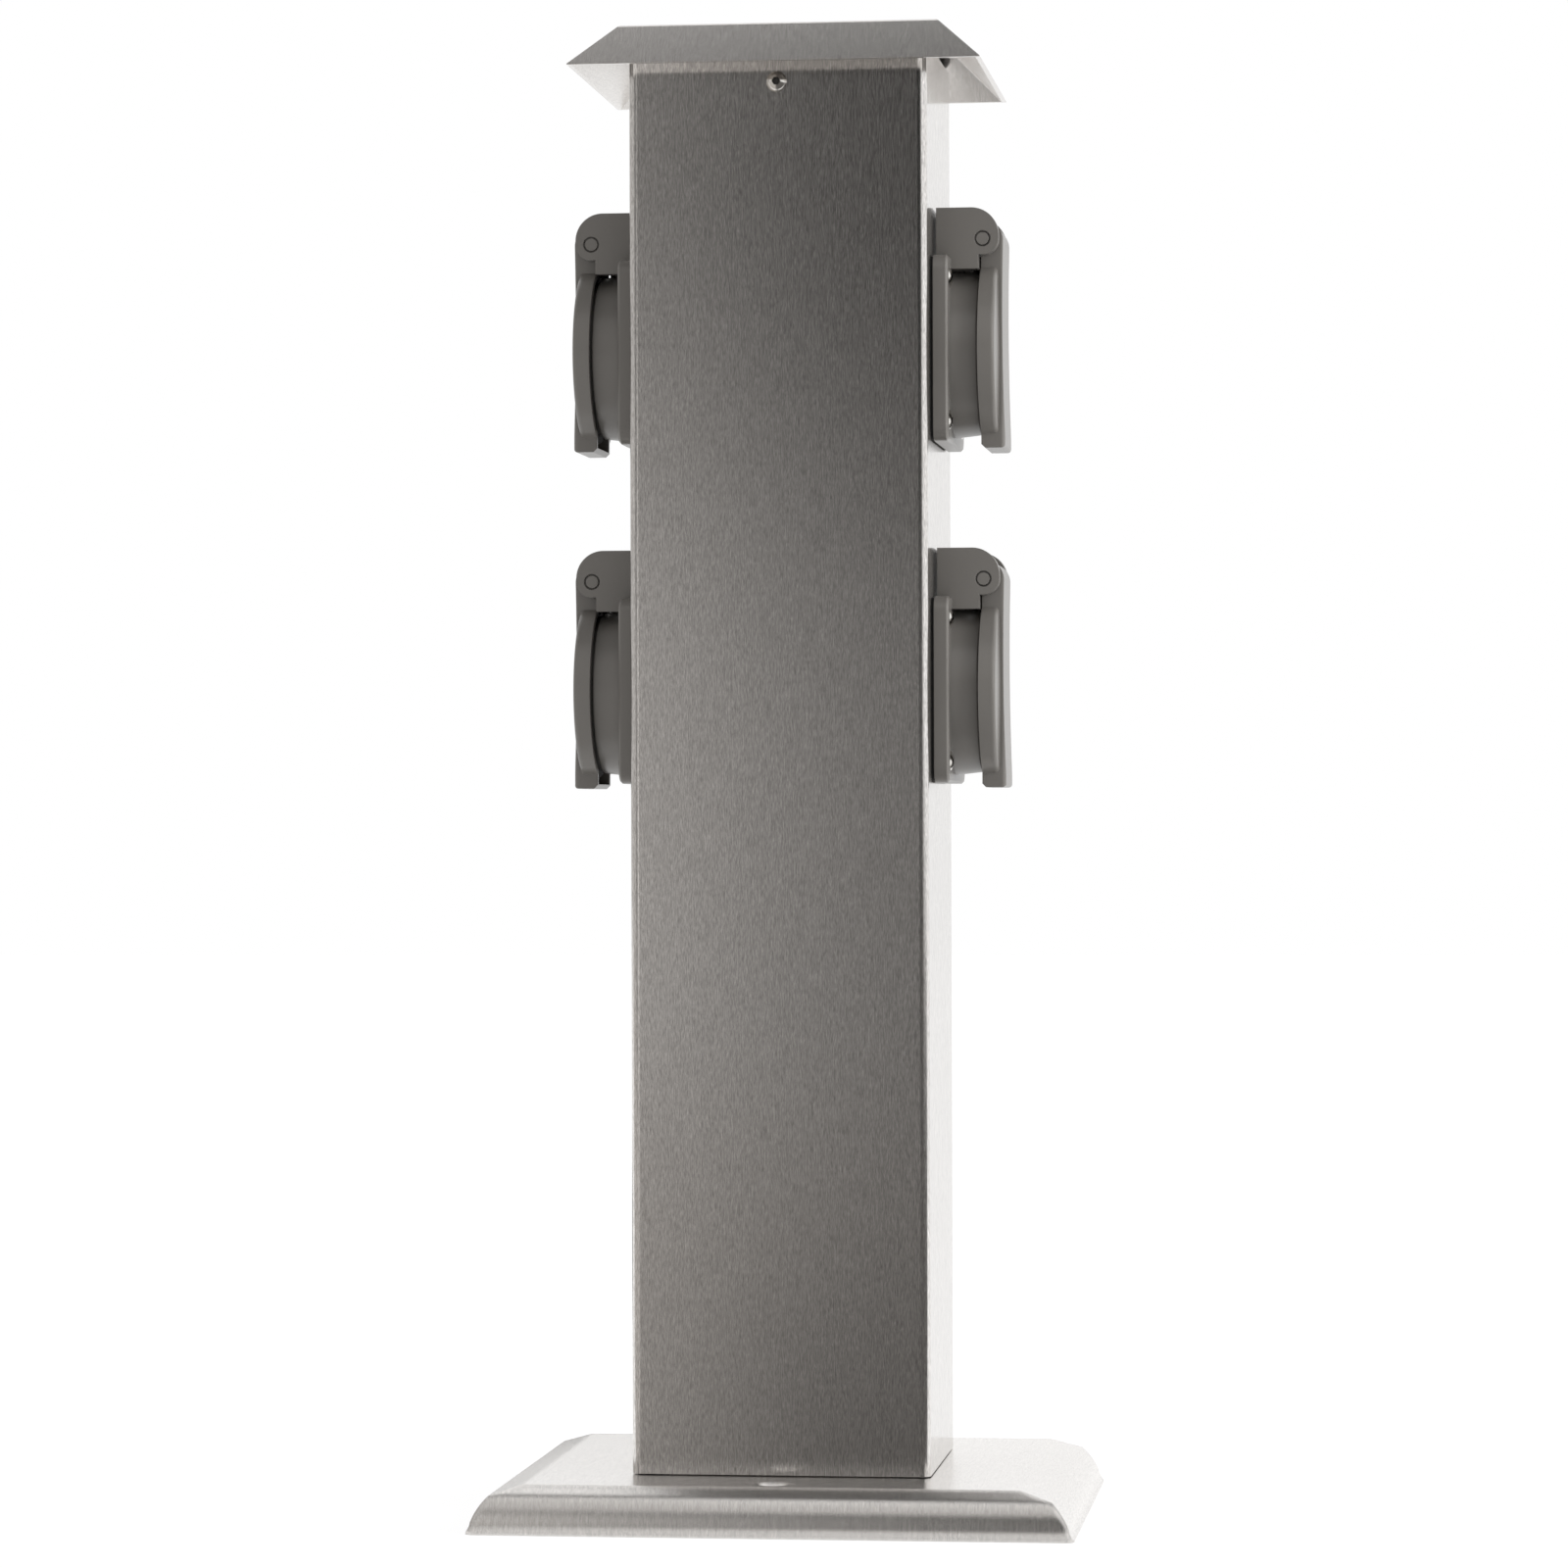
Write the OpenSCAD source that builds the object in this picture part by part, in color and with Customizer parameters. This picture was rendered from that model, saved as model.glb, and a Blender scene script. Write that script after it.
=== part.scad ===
// Garden socket post: a stainless column on a pressed base plate, under a folded cap,
// with two weatherproof socket outlets above each other on each side face.
// Lengths in millimetres, angles in degrees. Z is up, -Y is the front, and the origin
// is the middle of the base plate's footprint on the ground.

/* [Column] */
// Width of the column, left to right
col_w = 80; // [76:1:104]
// Depth of the column, front to back
col_d = 70; // [66:1:90]
// Sheet thickness of the column
col_wall = 1.5; // [1:0.1:2]
// Outside radius of the column's upright corners
col_corner_r = 2.4; // [2.2:0.1:5]
// Height of the whole post, from the ground to the top of the cap
total_h = 400; // [360:5:600]
// Shadow gap under the lower edge of the column
foot_gap = 0.3; // [0.1:0.1:0.8]

/* [Base plate] */
// Width of the base plate
base_w = 160; // [144:1:220]
// Depth of the base plate
base_d = 130; // [122:1:200]
// Height of the flat top of the base plate
base_h = 12.6; // [12:0.1:20]
// Sheet thickness of the base plate
base_sheet = 1.5; // [1:0.1:2]
// Height of the ridge where the sloping band meets the rim
ridge_h = 10; // [9.5:0.1:11.5]
// How far the rim runs out from the ridge, left and right
rim_run_w = 6; // [4:0.5:10]
// How far the rim runs out from the ridge, front and back
rim_run_d = 3.4; // [3:0.1:8]
// Width of the sloping band, left and right
band_w = 8.5; // [4:0.5:10]
// Width of the sloping band, front and back
band_d = 3.8; // [3:0.1:6]
// Height of the upright lip at the foot of the rim
lip_h = 0.5; // [0.4:0.1:2]
// How far the foot of the rim flares out
flare_run = 1.4; // [0.8:0.1:2]
// Height of the flare
flare_rise = 2.7; // [1.2:0.1:3.2]
// How far the flare is hollowed from a straight slope
flare_hollow = 0.3; // [0.1:0.05:0.4]
// How far the rim swells out from a straight slope
rim_swell = 0.45; // [0.2:0.05:1.4]
// Radius of the rim's corners, seen from above
base_corner_r = 2.5; // [1:0.5:6]
// Diameter of the two holes that take the ground screws
ground_hole_d = 8; // [5:0.5:9]
// Distance of a ground screw hole from the front or back edge of the plate
ground_hole_in = 13.8; // [12:0.1:20]

/* [Cap] */
// Width of the cap at its lower edge
cap_w = 110; // [106:1:140]
// Depth of the cap at its lower edge
cap_d = 90; // [88:1:120]
// Height of the cap
cap_h = 12; // [10:0.5:20]
// How far the sloping sides come in
cap_inset = 12.3; // [8:0.1:13]
// Sheet thickness of the cap
cap_sheet = 1; // [0.8:0.1:1.5]
// Radius of the folds round the flat top
cap_fold_r = 2; // [1:0.1:2.5]
// Depth of the cap's inside above the column's upper edge
cap_clear = 4.5; // [4.2:0.1:6]
// Distance of the cap screws below the cap's lower edge
cap_screw_drop = 4.2; // [3.5:0.1:8]

/* [Outlets] */
// Distance from the top of the post down to the middle of the upper outlets
outlet_drop = 86.5; // [70:0.5:110]
// Distance between the upper and the lower outlets
outlet_pitch = 91.5; // [84:0.5:120]
// Side length of the square flange
flange_w = 50; // [49:0.5:54]
// Thickness of the flange
flange_t = 4; // [3:0.1:5]
// Radius of the flange's corners
flange_corner_r = 4; // [2:0.5:5]
// Distance between the flange screws, both ways
flange_screw_pitch = 38; // [37.5:0.1:39]
// Thickness of the gasket behind the flange
gasket_t = 0.6; // [0.3:0.1:1]
// Radius of the collar where it leaves the flange
collar_root_r = 22.8; // [22.6:0.1:23.6]
// Radius of the collar at its end
collar_tip_r = 22; // [21.8:0.1:22.4]
// Gap between the end of the collar and the lid's rim
collar_gap = 0.3; // [0.2:0.1:1.4]
// Inside radius of the well that takes the plug
well_r = 19.75; // [19.5:0.05:19.9]
// Depth of the well
well_depth = 17.5; // [15:0.5:18]
// Wall thickness of the well
well_wall = 1.15; // [1:0.05:1.3]
// Distance of the pin holes from the middle of the well
pin_hole_out = 9.5; // [9:0.1:10]
// Radius of the pin holes in the floor of the well
pin_hole_r = 2.75; // [2.5:0.05:2.9]
// Depth of the outlet behind the column's face
rear_depth = 32; // [28:0.5:33]

/* [Lid and hinge] */
// Radius of the round lid
lid_r = 25; // [24.6:0.1:25.8]
// Distance of the lid's back edge from the column's face
lid_back = 12.4; // [12.3:0.1:12.8]
// Depth of the round part of the lid
lid_depth = 4.6; // [4:0.1:4.8]
// Thickness of the lid's skin
lid_skin = 1.8; // [1.5:0.1:2]
// Half the width of the strap that runs down the middle of the lid
strap_half = 11.2; // [10:0.1:11.5]
// Distance of the lower end of the finger tab below the middle of the lid
tab_drop = 26.2; // [26:0.1:30]
// How far the finger tab stands out past the strap's face at the pin
tab_flare = 0.4; // [0:0.1:1]
// Distance of the hinge pin from the column's face
pin_x = 13.2; // [13:0.1:13.4]
// Height of the hinge pin above the middle of the outlet
pin_z = 29.8; // [29.6:0.1:30.2]
// Radius of the hinge pin
pin_r = 1.7; // [1.5:0.05:1.8]
// Radius of the knuckle that turns on the pin
knuckle_r = 5.2; // [5.1:0.1:5.4]
// Radius of the cheek's nose round the pin
nose_r = 4.3; // [4:0.1:4.6]
// Thickness of a cheek of the hinge bracket
cheek_t = 3.8; // [3:0.1:5]
// Height of the bracket's top above the middle of the outlet
bracket_top = 38.2; // [37.5:0.1:39]
// Height of the bracket's lower edge above the middle of the outlet
bracket_bottom = 21.7; // [21.4:0.1:23.5]
// Radius of the rounded shoulder of the cheeks
shoulder_r = 7.4; // [6.5:0.1:7.8]
// How far the lid opens
lid_opening = 110; // [90:1:110]

/* [Fits] */
// Radial clearance of the well in the frame
well_fit = 0.15; // [0.1:0.05:0.25]
// Radial clearance of the outlet in the column's hole
cutout_fit = 0.5; // [0.3:0.1:0.8]
// Running clearance of the knuckle on its pin, radial
hinge_fit = 0.06; // [0.02:0.01:0.1]
// Clearance of a screw in its threaded hole, radial
thread_fit = 0.05; // [0.02:0.01:0.1]
// Clearance of a screw in a clearance hole, radial
hole_fit = 0.25; // [0.1:0.05:0.4]
// Gap between the closed lid's seal and the mouth of the well
seal_gap = 0.2; // [0.1:0.05:0.3]
// Gap between the knuckle and a cheek, along the pin
cheek_gap = 0.4; // [0.2:0.1:0.5]

/* [Hidden] */
$fn = 64;
EPS = 0.01;
STEEL = "#b9b6b2";
GREY = "#5f5b57";
BLACK = "#1c1c1c";
BRASS = "#c9a44c";
WHITE = "#e6e4de";

// Each outlet: its name, its turn about Z, and how many pitches it lies below the upper ones
OUTLETS = [
    ["right_upper", 0, 0],
    ["right_lower", 0, 1],
    ["left_upper", 180, 0],
    ["left_lower", 180, 1],
];
OUTLET_PARTS = ["frame", "flange_gasket", "insert", "line_contacts", "earth_clip",
    "rear_housing", "lid", "lid_seal", "hinge_pin", "lid_spring"];

// Column and cap
col_bottom_z = base_h + foot_gap;
cap_edge_z = total_h - cap_h;
cap_ceiling_z = total_h - cap_sheet;
col_top_z = cap_ceiling_z - cap_clear;
col_inner_y = col_d/2 - col_wall;
cap_edge_lip = 0.3;

// Outlet, measured outwards from the column's face and from the middle of the well
upper_z = total_h - outlet_drop;
flange_face = gasket_t + flange_t;
collar_end = lid_back - collar_gap;
collar_h = collar_end - flange_face;
well_outer_r = well_r + well_wall;
frame_bore_r = well_outer_r + well_fit;
cutout_r = well_outer_r + cutout_fit;
skin_inner = lid_back + lid_depth - lid_skin;
seal_t = 1.6;
seal_face = skin_inner - seal_t;
well_mouth = seal_face - seal_gap;
well_floor = well_mouth - well_depth;
floor_t = 3;
housing_front = well_floor - floor_t;
screw_out = flange_screw_pitch/2;

// Lid and bracket
strap_face = pin_x + knuckle_r;
strap_skin = 1.65;
strap_edge_r = 1.2;
tab_x = strap_face + tab_flare;
rim_wall = 1.8;
hub_r = knuckle_r - 1;
notch_x = lid_back - 0.33;
bracket_back = 0.7;
cheek_in = strap_half + cheek_gap;
cheek_out = cheek_in + cheek_t;
web_front = pin_x - knuckle_r - 0.6;
pin_recess_r = pin_r + 0.45;
pin_recess = 0.9;
pin_half = cheek_out - 0.1;
rib_top = 0.6;
rib_reach = hub_r + 0.3;
step_angle = 184 - lid_opening;

// Lid spring
spring_wire_r = 0.6;
spring_leg_r = 0.55;
spring_coil_r = pin_r + 0.55 + spring_wire_r;
spring_turns = 7;
spring_pitch = 2.2*spring_wire_r;
spring_half = (spring_turns - 1)*spring_pitch/2;
pocket_half = spring_half + spring_wire_r + 0.7;
spring_seat_z = 4;

// Screws
m3_r = 1.5;
m3_head_r = 2.75;
m3_head_h = 1.7;
m5_r = 2.5;
m5_head_r = 4.5;
m5_head_h = 3;

// Foot, gland and terminals
foot_leg_t = 2.5;
foot_leg_in = 16;
foot_half = 30;
foot_h = 34;
foot_screw_x = 20;
foot_screw_y = col_inner_y - 9;
gland_bore_r = 6.5;
gland_thread_r = 10;
gland_hex = 24;
gland_hex_h = 6;
gland_dome_r = 11.6;
gland_dome_h = 10;
gland_dome_round = 4;
gland_nut_hex = 26;
gland_nut_h = 4.5;
plate_w = 60;
plate_t = 1.5;
plate_z = 75;
plate_h = 52;
block_w = 52;
block_d = 18;
block_h = 24;
block_z = plate_z + 14;
pole_pitch = 10;
wire_r = 1.5;
wire_gap = 0.3;
bend_swell = 0.03;
wire_hole_depth = 7;
wire_y = 8;
wire_rise = 13;
bend_z = block_z + block_h + 31;
stud_x = 18;
stud_z = base_h + 22;

// Points on an arc of radius r about c
function arc(c, r, a0, a1, n) =
    [for (i = [0:n]) let (a = a0 + (a1 - a0)*i/n) c + r*[cos(a), sin(a)]];

// Points from p to q on an arc that swells s to the left of the way there
function bow(p, q, s, n) =
    let (d = norm(q - p), u = (q - p)/d, side = [-u.y, u.x],
         r = (d*d/4 + s*s)/(2*s), c = (p + q)/2 - side*(r - s), h = asin(d/2/r))
    [for (i = [0:n]) let (a = -h + 2*h*i/n) c + r*(side*cos(a) + u*sin(a))];

// A right-hand outline closed by its mirror image
function both_sides(half) =
    concat(half, [for (i = [len(half) - 1:-1:0]) [-half[i].x, half[i].y]]);

// Rectangle with round corners, centred
module rounded_rect(w, d, r) {
    square([w - 2*r, d], center = true);
    square([w, d - 2*r], center = true);
    for (x = [-1, 1], y = [-1, 1])
        translate([x*(w/2 - r), y*(d/2 - r)]) circle(r);
}

// Solid with one outline from the front and another from the side, mitred at its corners
module mitred(front, side, reach) {
    intersection() {
        rotate([90, 0, 0]) linear_extrude(reach, center = true) polygon(both_sides(front));
        rotate([90, 0, 90]) linear_extrude(reach, center = true) polygon(both_sides(side));
    }
}

// Round bar or hole along X, Y or Z
module bar_x(x0, x1, r) { translate([x0, 0, 0]) rotate([0, 90, 0]) cylinder(x1 - x0, r = r); }
module bar_y(y0, y1, r) { translate([0, y1, 0]) rotate([90, 0, 0]) cylinder(y1 - y0, r = r); }
module bar_z(z0, z1, r) { translate([0, 0, z0]) cylinder(z1 - z0, r = r); }

// Block between two corners
module block(p, q) { translate(p) cube(q - p); }

// Outline in the X-Z plane, extruded to both sides of Y = 0
module side_profile(half) { rotate([90, 0, 0]) linear_extrude(2*half, center = true) children(); }

// Hexagon prism with the given width across flats
module hex_bar(flats, h) { cylinder(h, r = flats/2/cos(30), $fn = 6); }

// Base plate

// Half outline of the base plate: lip, flare, swelling rim, ridge, band and flat top
function base_outline(half, run, band) =
    let (foot = [half - flare_run, lip_h + flare_rise],
         flare = bow([half, lip_h], foot, flare_hollow, 4),
         rim = bow(foot, [half - run, ridge_h], -rim_swell, 8))
    concat([[half, 0]], [for (i = [0:3]) flare[i]], rim, [[half - run - band, base_h]]);

// The same outline one sheet further in
function base_inside(half, run, band) =
    let (t = base_sheet)
    [[half - 1.2*t, -1], [half - 1.2*t, lip_h], [half - flare_run - 1.2*t, lip_h + flare_rise],
     [half - run - 0.8*t, ridge_h - 0.9*t], [half - run - band, base_h - t]];

module base_plate() {
    reach = 2*(base_w + base_d);
    color(STEEL) difference() {
        intersection() {
            mitred(base_outline(base_w/2, rim_run_w, band_w),
                   base_outline(base_d/2, rim_run_d, band_d), reach);
            linear_extrude(base_h + 1) rounded_rect(base_w, base_d, base_corner_r);
        }
        mitred(base_inside(base_w/2, rim_run_w, band_w),
               base_inside(base_d/2, rim_run_d, band_d), reach);
        for (s = [-1, 1]) translate([0, s*(base_d/2 - ground_hole_in), 0])
            bar_z(0, base_h + 1, ground_hole_d/2);
        bar_z(0, base_h + 1, gland_thread_r + hole_fit);
        foot_screw_places() bar_z(0, base_h + 1, m5_r + hole_fit);
    }
}

// Column

module column() {
    inner_r = max(0.4, col_corner_r - col_wall);
    color(STEEL) difference() {
        translate([0, 0, col_bottom_z]) linear_extrude(col_top_z - col_bottom_z) difference() {
            rounded_rect(col_w, col_d, col_corner_r);
            rounded_rect(col_w - 2*col_wall, col_d - 2*col_wall, inner_r);
        }
        for (o = OUTLETS) at_outlet(o) {
            bar_x(-col_wall - 1, 1, cutout_r);
            flange_screw_places() bar_x(-col_wall - 1, 1, m3_r + thread_fit);
        }
        cap_screw_places() bar_y(-col_wall - 1, 1, m3_r + hole_fit);
    }
}

// Cap and what holds it

// Half outline of the cap, from its lower edge over the fold to the flat top
function cap_outline(half) =
    let (rise = cap_h - cap_edge_lip, tilt = atan2(rise, cap_inset),
         top = half - cap_inset, tangent = cap_fold_r*tan(tilt/2))
    concat([[half, cap_edge_z], [half, cap_edge_z + cap_edge_lip]],
           arc([top - tangent, total_h - cap_fold_r], cap_fold_r, 90 - tilt, 90, 5),
           [[0, total_h]]);

// Half outline of the space inside the cap, open below
function cap_inside(half) =
    let (rise = cap_h - cap_edge_lip, slope = cap_inset/rise,
         edge = half - cap_sheet*norm([rise, cap_inset])/rise + cap_edge_lip*slope,
         low = cap_edge_z - 1)
    [[edge + slope, low], [edge - (cap_ceiling_z - cap_edge_z)*slope, cap_ceiling_z],
     [0, cap_ceiling_z]];

module cap() {
    reach = 2*(cap_w + cap_d);
    color(STEEL) difference() {
        mitred(cap_outline(cap_w/2), cap_outline(cap_d/2), reach);
        mitred(cap_inside(cap_w/2), cap_inside(cap_d/2), reach);
    }
}

// The cap's screws sit in the front and back faces; local +Y points out of the column
module cap_screw_places() {
    for (turn = [0, 180]) rotate([0, 0, turn])
        translate([0, col_d/2, cap_edge_z - cap_screw_drop]) children();
}

bracket_w = 22;
bracket_t = 1.5;
bracket_leg_y = col_inner_y - 0.2;
bracket_foot_y = cap_d/2 - cap_inset - cap_sheet - 1;

// Side outline of one cap tab, from its foot under the cap, over a joggle, to its threaded leg
module cap_tab_outline() {
    top = cap_ceiling_z;
    low = cap_edge_z - cap_screw_drop - 6;
    knee = min(bracket_foot_y, bracket_leg_y);
    joggle_z = col_top_z - 3;
    polygon([[knee - 14, top], [knee, top], [knee, joggle_z], [bracket_leg_y, joggle_z - 4],
        [bracket_leg_y, low], [bracket_leg_y - bracket_t, low],
        [bracket_leg_y - bracket_t, joggle_z - 4.6], [knee - bracket_t, joggle_z - 0.6],
        [knee - bracket_t, top - bracket_t], [knee - 14, top - bracket_t]]);
}

module cap_bracket() {
    color(STEEL) difference() {
        for (turn = [0, 180]) rotate([0, 0, turn])
            rotate([90, 0, 90]) linear_extrude(bracket_w, center = true) cap_tab_outline();
        cap_screw_places() bar_y(-col_wall - bracket_t - 1, 1, m3_r + thread_fit);
    }
}

// Button head screw along local Y, with a hexagon socket in its domed head
module button_screw(length) {
    dome_r = (m3_head_r*m3_head_r + m3_head_h*m3_head_h)/(2*m3_head_h);
    rotate([-90, 0, 0]) {
        translate([0, 0, -length]) cylinder(length + EPS, r = m3_r);
        difference() {
            intersection() {
                cylinder(m3_head_h, r = m3_head_r);
                translate([0, 0, m3_head_h - dome_r]) sphere(dome_r);
            }
            translate([0, 0, 0.6]) hex_bar(2, m3_head_h);
        }
    }
}

module cap_screws() {
    color(STEEL) cap_screw_places() button_screw(8);
}

// Foot brackets, screws, gland and terminals

// The foot screws come up through the base plate, two into each foot bracket
module foot_screw_places() {
    for (x = [-1, 1], y = [-1, 1]) translate([x*foot_screw_x, y*foot_screw_y, 0]) children();
}

module foot_bracket() {
    difference() {
        union() {
            block([-foot_half, foot_leg_in, base_h], [foot_half, col_inner_y, base_h + foot_leg_t]);
            block([-foot_half, col_inner_y - foot_leg_t, base_h],
                  [foot_half, col_inner_y, base_h + foot_h]);
        }
        foot_screw_places() bar_z(base_h - 1, base_h + foot_leg_t + 1, m5_r + thread_fit);
    }
}
module foot_bracket_back() { color(STEEL) foot_bracket(); }
module foot_bracket_front() { color(STEEL) rotate([0, 0, 180]) foot_bracket(); }

module foot_screws() {
    under = base_h - base_sheet;
    color(STEEL) foot_screw_places() {
        bar_z(under - EPS, base_h + foot_leg_t + 3, m5_r);
        difference() {
            bar_z(under - m5_head_h, under, m5_head_r);
            translate([0, 0, under - m5_head_h - 1]) hex_bar(4, 2.6);
        }
    }
}

// Cable gland: threaded shank through the base plate, hexagon and domed clamping nut above
module cable_gland() {
    low = base_h - base_sheet - gland_nut_h - 1;
    round_r = gland_dome_round;
    color(BLACK) difference() {
        union() {
            bar_z(low, base_h + 1, gland_thread_r);
            translate([0, 0, base_h]) hex_bar(gland_hex, gland_hex_h);
            translate([0, 0, base_h + gland_hex_h - EPS]) rotate_extrude()
                polygon(concat([[0, 0], [gland_dome_r, 0], [gland_dome_r, gland_dome_h - round_r]],
                    arc([gland_dome_r - round_r, gland_dome_h - round_r], round_r, 20, 80, 5),
                    [[0, gland_dome_h]]));
        }
        bar_z(0, base_h + gland_hex_h + gland_dome_h + 1, gland_bore_r);
    }
}

module gland_nut() {
    top = base_h - base_sheet;
    color(BLACK) difference() {
        translate([0, 0, top - gland_nut_h]) hex_bar(gland_nut_hex, gland_nut_h);
        bar_z(0, top + 1, gland_thread_r + thread_fit);
    }
}

module terminal_plate() {
    color(STEEL) block([-plate_w/2, col_inner_y - plate_t, plate_z],
        [plate_w/2, col_inner_y, plate_z + plate_h]);
}

// Terminal block: poles side by side, each with a wire hole from above and a screw hole in front
module terminal_block() {
    back = col_inner_y - plate_t;
    color(WHITE) difference() {
        union() {
            block([-block_w/2, back - block_d, block_z], [block_w/2, back, block_z + block_h]);
            for (i = [-2:2]) block([i*pole_pitch - 3.6, back - block_d - 2, block_z + 4],
                [i*pole_pitch + 3.6, back - block_d + EPS, block_z + block_h - 4]);
        }
        for (i = [-2:2]) translate([i*pole_pitch, 0, 0]) {
            translate([0, wire_end_y, 0])
                bar_z(block_z + block_h - wire_hole_depth, block_z + block_h + 1, wire_r + wire_gap);
            translate([0, 0, block_z + block_h/2]) bar_y(back - block_d - 3, back - block_d + 4, 2.4);
        }
    }
}
wire_end_y = col_inner_y - plate_t - block_d/2;

module earth_stud() {
    face = col_inner_y - foot_leg_t;
    color(BRASS) translate([stud_x, 0, stud_z]) bar_y(face - 14, face, m5_r);
}

module earth_nut() {
    face = col_inner_y - foot_leg_t;
    color(BRASS) translate([stud_x, face, stud_z]) rotate([90, 0, 0]) difference() {
        hex_bar(8, 4);
        translate([0, 0, -1]) cylinder(6, r = m5_r + thread_fit);
    }
}

// A wire along a route of points: straight stretches with a ball at each bend
module wire(route, r) {
    for (i = [0:len(route) - 2]) {
        step = route[i + 1] - route[i];
        translate(route[i]) rotate([0, acos(step.z/norm(step)), atan2(step.y, step.x)])
            cylinder(norm(step), r = r);
    }
    for (i = [1:len(route) - 1]) translate(route[i]) sphere(r + bend_swell);
}

// One conductor: from its pole up the middle of the column, with a branch to each outlet
module conductor(pole, y) {
    rear_x = col_w/2 - rear_depth;
    top_z = upper_z + wire_rise;
    block_top = block_z + block_h;
    wire([[pole*pole_pitch, wire_end_y, block_top - wire_hole_depth + 0.5],
          [pole*pole_pitch, wire_end_y, block_top + 8], [0, y, bend_z], [0, y, top_z]], wire_r);
    for (level = [0, 1]) translate([0, y, top_z - level*outlet_pitch])
        bar_x(-rear_x - wire_hole_depth + 0.5, rear_x + wire_hole_depth - 0.5, wire_r);
}
module live_wire() { color("#6b4226") conductor(-1, -wire_y); }
module earth_wire() { color("#6f8f2f") conductor(0, 0); }
module neutral_wire() { color("#2f5fa8") conductor(1, wire_y); }

// Outlets: each is drawn with X out of the column's face and Z up from the middle of the well

module at_outlet(o) {
    translate([0, 0, upper_z - o[2]*outlet_pitch]) rotate([0, 0, o[1]])
        translate([col_w/2, 0, 0]) children();
}

module flange_screw_places() {
    for (y = [-1, 1], z = [-1, 1]) translate([0, y*screw_out, z*screw_out]) children();
}

// Square plate along X with round corners and an eased front edge
module eased_plate(w, r, t, ease) {
    inner = w/2 - r;
    rotate([90, 0, 90]) {
        linear_extrude(t - ease) rounded_rect(w, w, r);
        translate([0, 0, t - ease - EPS]) {
            for (x = [-1, 1], y = [-1, 1]) translate([x*inner, y*inner, 0])
                cylinder(ease + EPS, r1 = r, r2 = r - ease);
            for (turn = [0, 90]) rotate([90, 0, turn]) linear_extrude(2*inner, center = true)
                polygon([[-w/2, 0], [w/2, 0], [w/2 - ease, ease + EPS], [-w/2 + ease, ease + EPS]]);
        }
    }
}

// Side outline of a cheek: upright block, rounded shoulder, and a nose round the pin
module cheek_outline() {
    shoulder_x = pin_x + nose_r - shoulder_r;
    shoulder_z = bracket_top - shoulder_r;
    translate([bracket_back, bracket_bottom])
        square([notch_x - bracket_back, shoulder_z - bracket_bottom]);
    translate([bracket_back, shoulder_z - EPS]) square([shoulder_x - bracket_back, shoulder_r + EPS]);
    intersection() {
        translate([shoulder_x, shoulder_z]) circle(shoulder_r);
        translate([shoulder_x - EPS, shoulder_z - EPS]) square(shoulder_r + 1);
    }
    translate([pin_x - 2, pin_z]) square([nose_r + 2, shoulder_z - pin_z + EPS]);
    translate([pin_x, pin_z]) circle(nose_r);
}

module hinge_bracket() {
    for (s = [-1, 1]) translate([0, s*(cheek_in + cheek_t/2), 0])
        side_profile(cheek_t/2) cheek_outline();
    // Web between the cheeks
    block([bracket_back, -cheek_in - EPS, bracket_bottom], [web_front, cheek_in + EPS, bracket_top]);
    // Rib that stops the open lid, and the seat of the spring's fixed leg
    block([web_front - 1, -cheek_in - EPS, pin_z - rib_top - 1.6],
          [pin_x - rib_reach, cheek_in + EPS, pin_z - rib_top]);
    block([web_front - 1, -spring_half - 1, bracket_bottom],
          [pin_x - spring_coil_r - spring_wire_r - 0.05, -spring_half + 1, bracket_bottom + spring_seat_z]);
}

// Frame: flange, tapered collar and hinge bracket in one moulding
module frame(o) {
    color(GREY) at_outlet(o) difference() {
        union() {
            translate([gasket_t, 0, 0]) eased_plate(flange_w, flange_corner_r, flange_t, 0.6);
            translate([flange_face - EPS, 0, 0]) rotate([0, 90, 0])
                rotate_extrude() polygon(concat([[0, 0], [collar_root_r, 0]],
                    arc([collar_tip_r - 0.5, collar_h - 0.5], 0.5, 0, 90, 4), [[0, collar_h]]));
            hinge_bracket();
        }
        bar_x(0, collar_end + 1, frame_bore_r);
        flange_screw_places() bar_x(0, flange_face + 1, m3_r + hole_fit);
        translate([pin_x, 0, pin_z]) {
            bar_y(-cheek_out - 1, cheek_out + 1, pin_r + hinge_fit/3);
            for (s = [0, 180]) rotate([0, 0, s])
                bar_y(cheek_out - pin_recess, cheek_out + 1, pin_recess_r);
        }
    }
}

module flange_gasket(o) {
    side = flange_w - 1;
    color(BLACK) at_outlet(o) difference() {
        rotate([90, 0, 90]) linear_extrude(gasket_t) rounded_rect(side, side, flange_corner_r - 0.5);
        bar_x(-1, gasket_t + 1, cutout_r);
        flange_screw_places() bar_x(-1, gasket_t + 1, m3_r + hole_fit);
    }
}

// Earth clip strip: its width, its thickness, and the radius at which its arms run
clip_w = 6;
clip_t = 0.8;
clip_r = well_outer_r - 0.25;
clip_gap = 0.15;
clip_crest = 1.4;
arm_end = well_mouth - 4.5;

// Guide ribs of the well: their place, half width, half height and distance below the mouth
guide_out = 18.7;
guide_half_w = 1.4;
guide_half_h = 2.4;
guide_stop = 2.5;
mouth_bevel = 0.6;

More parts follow.
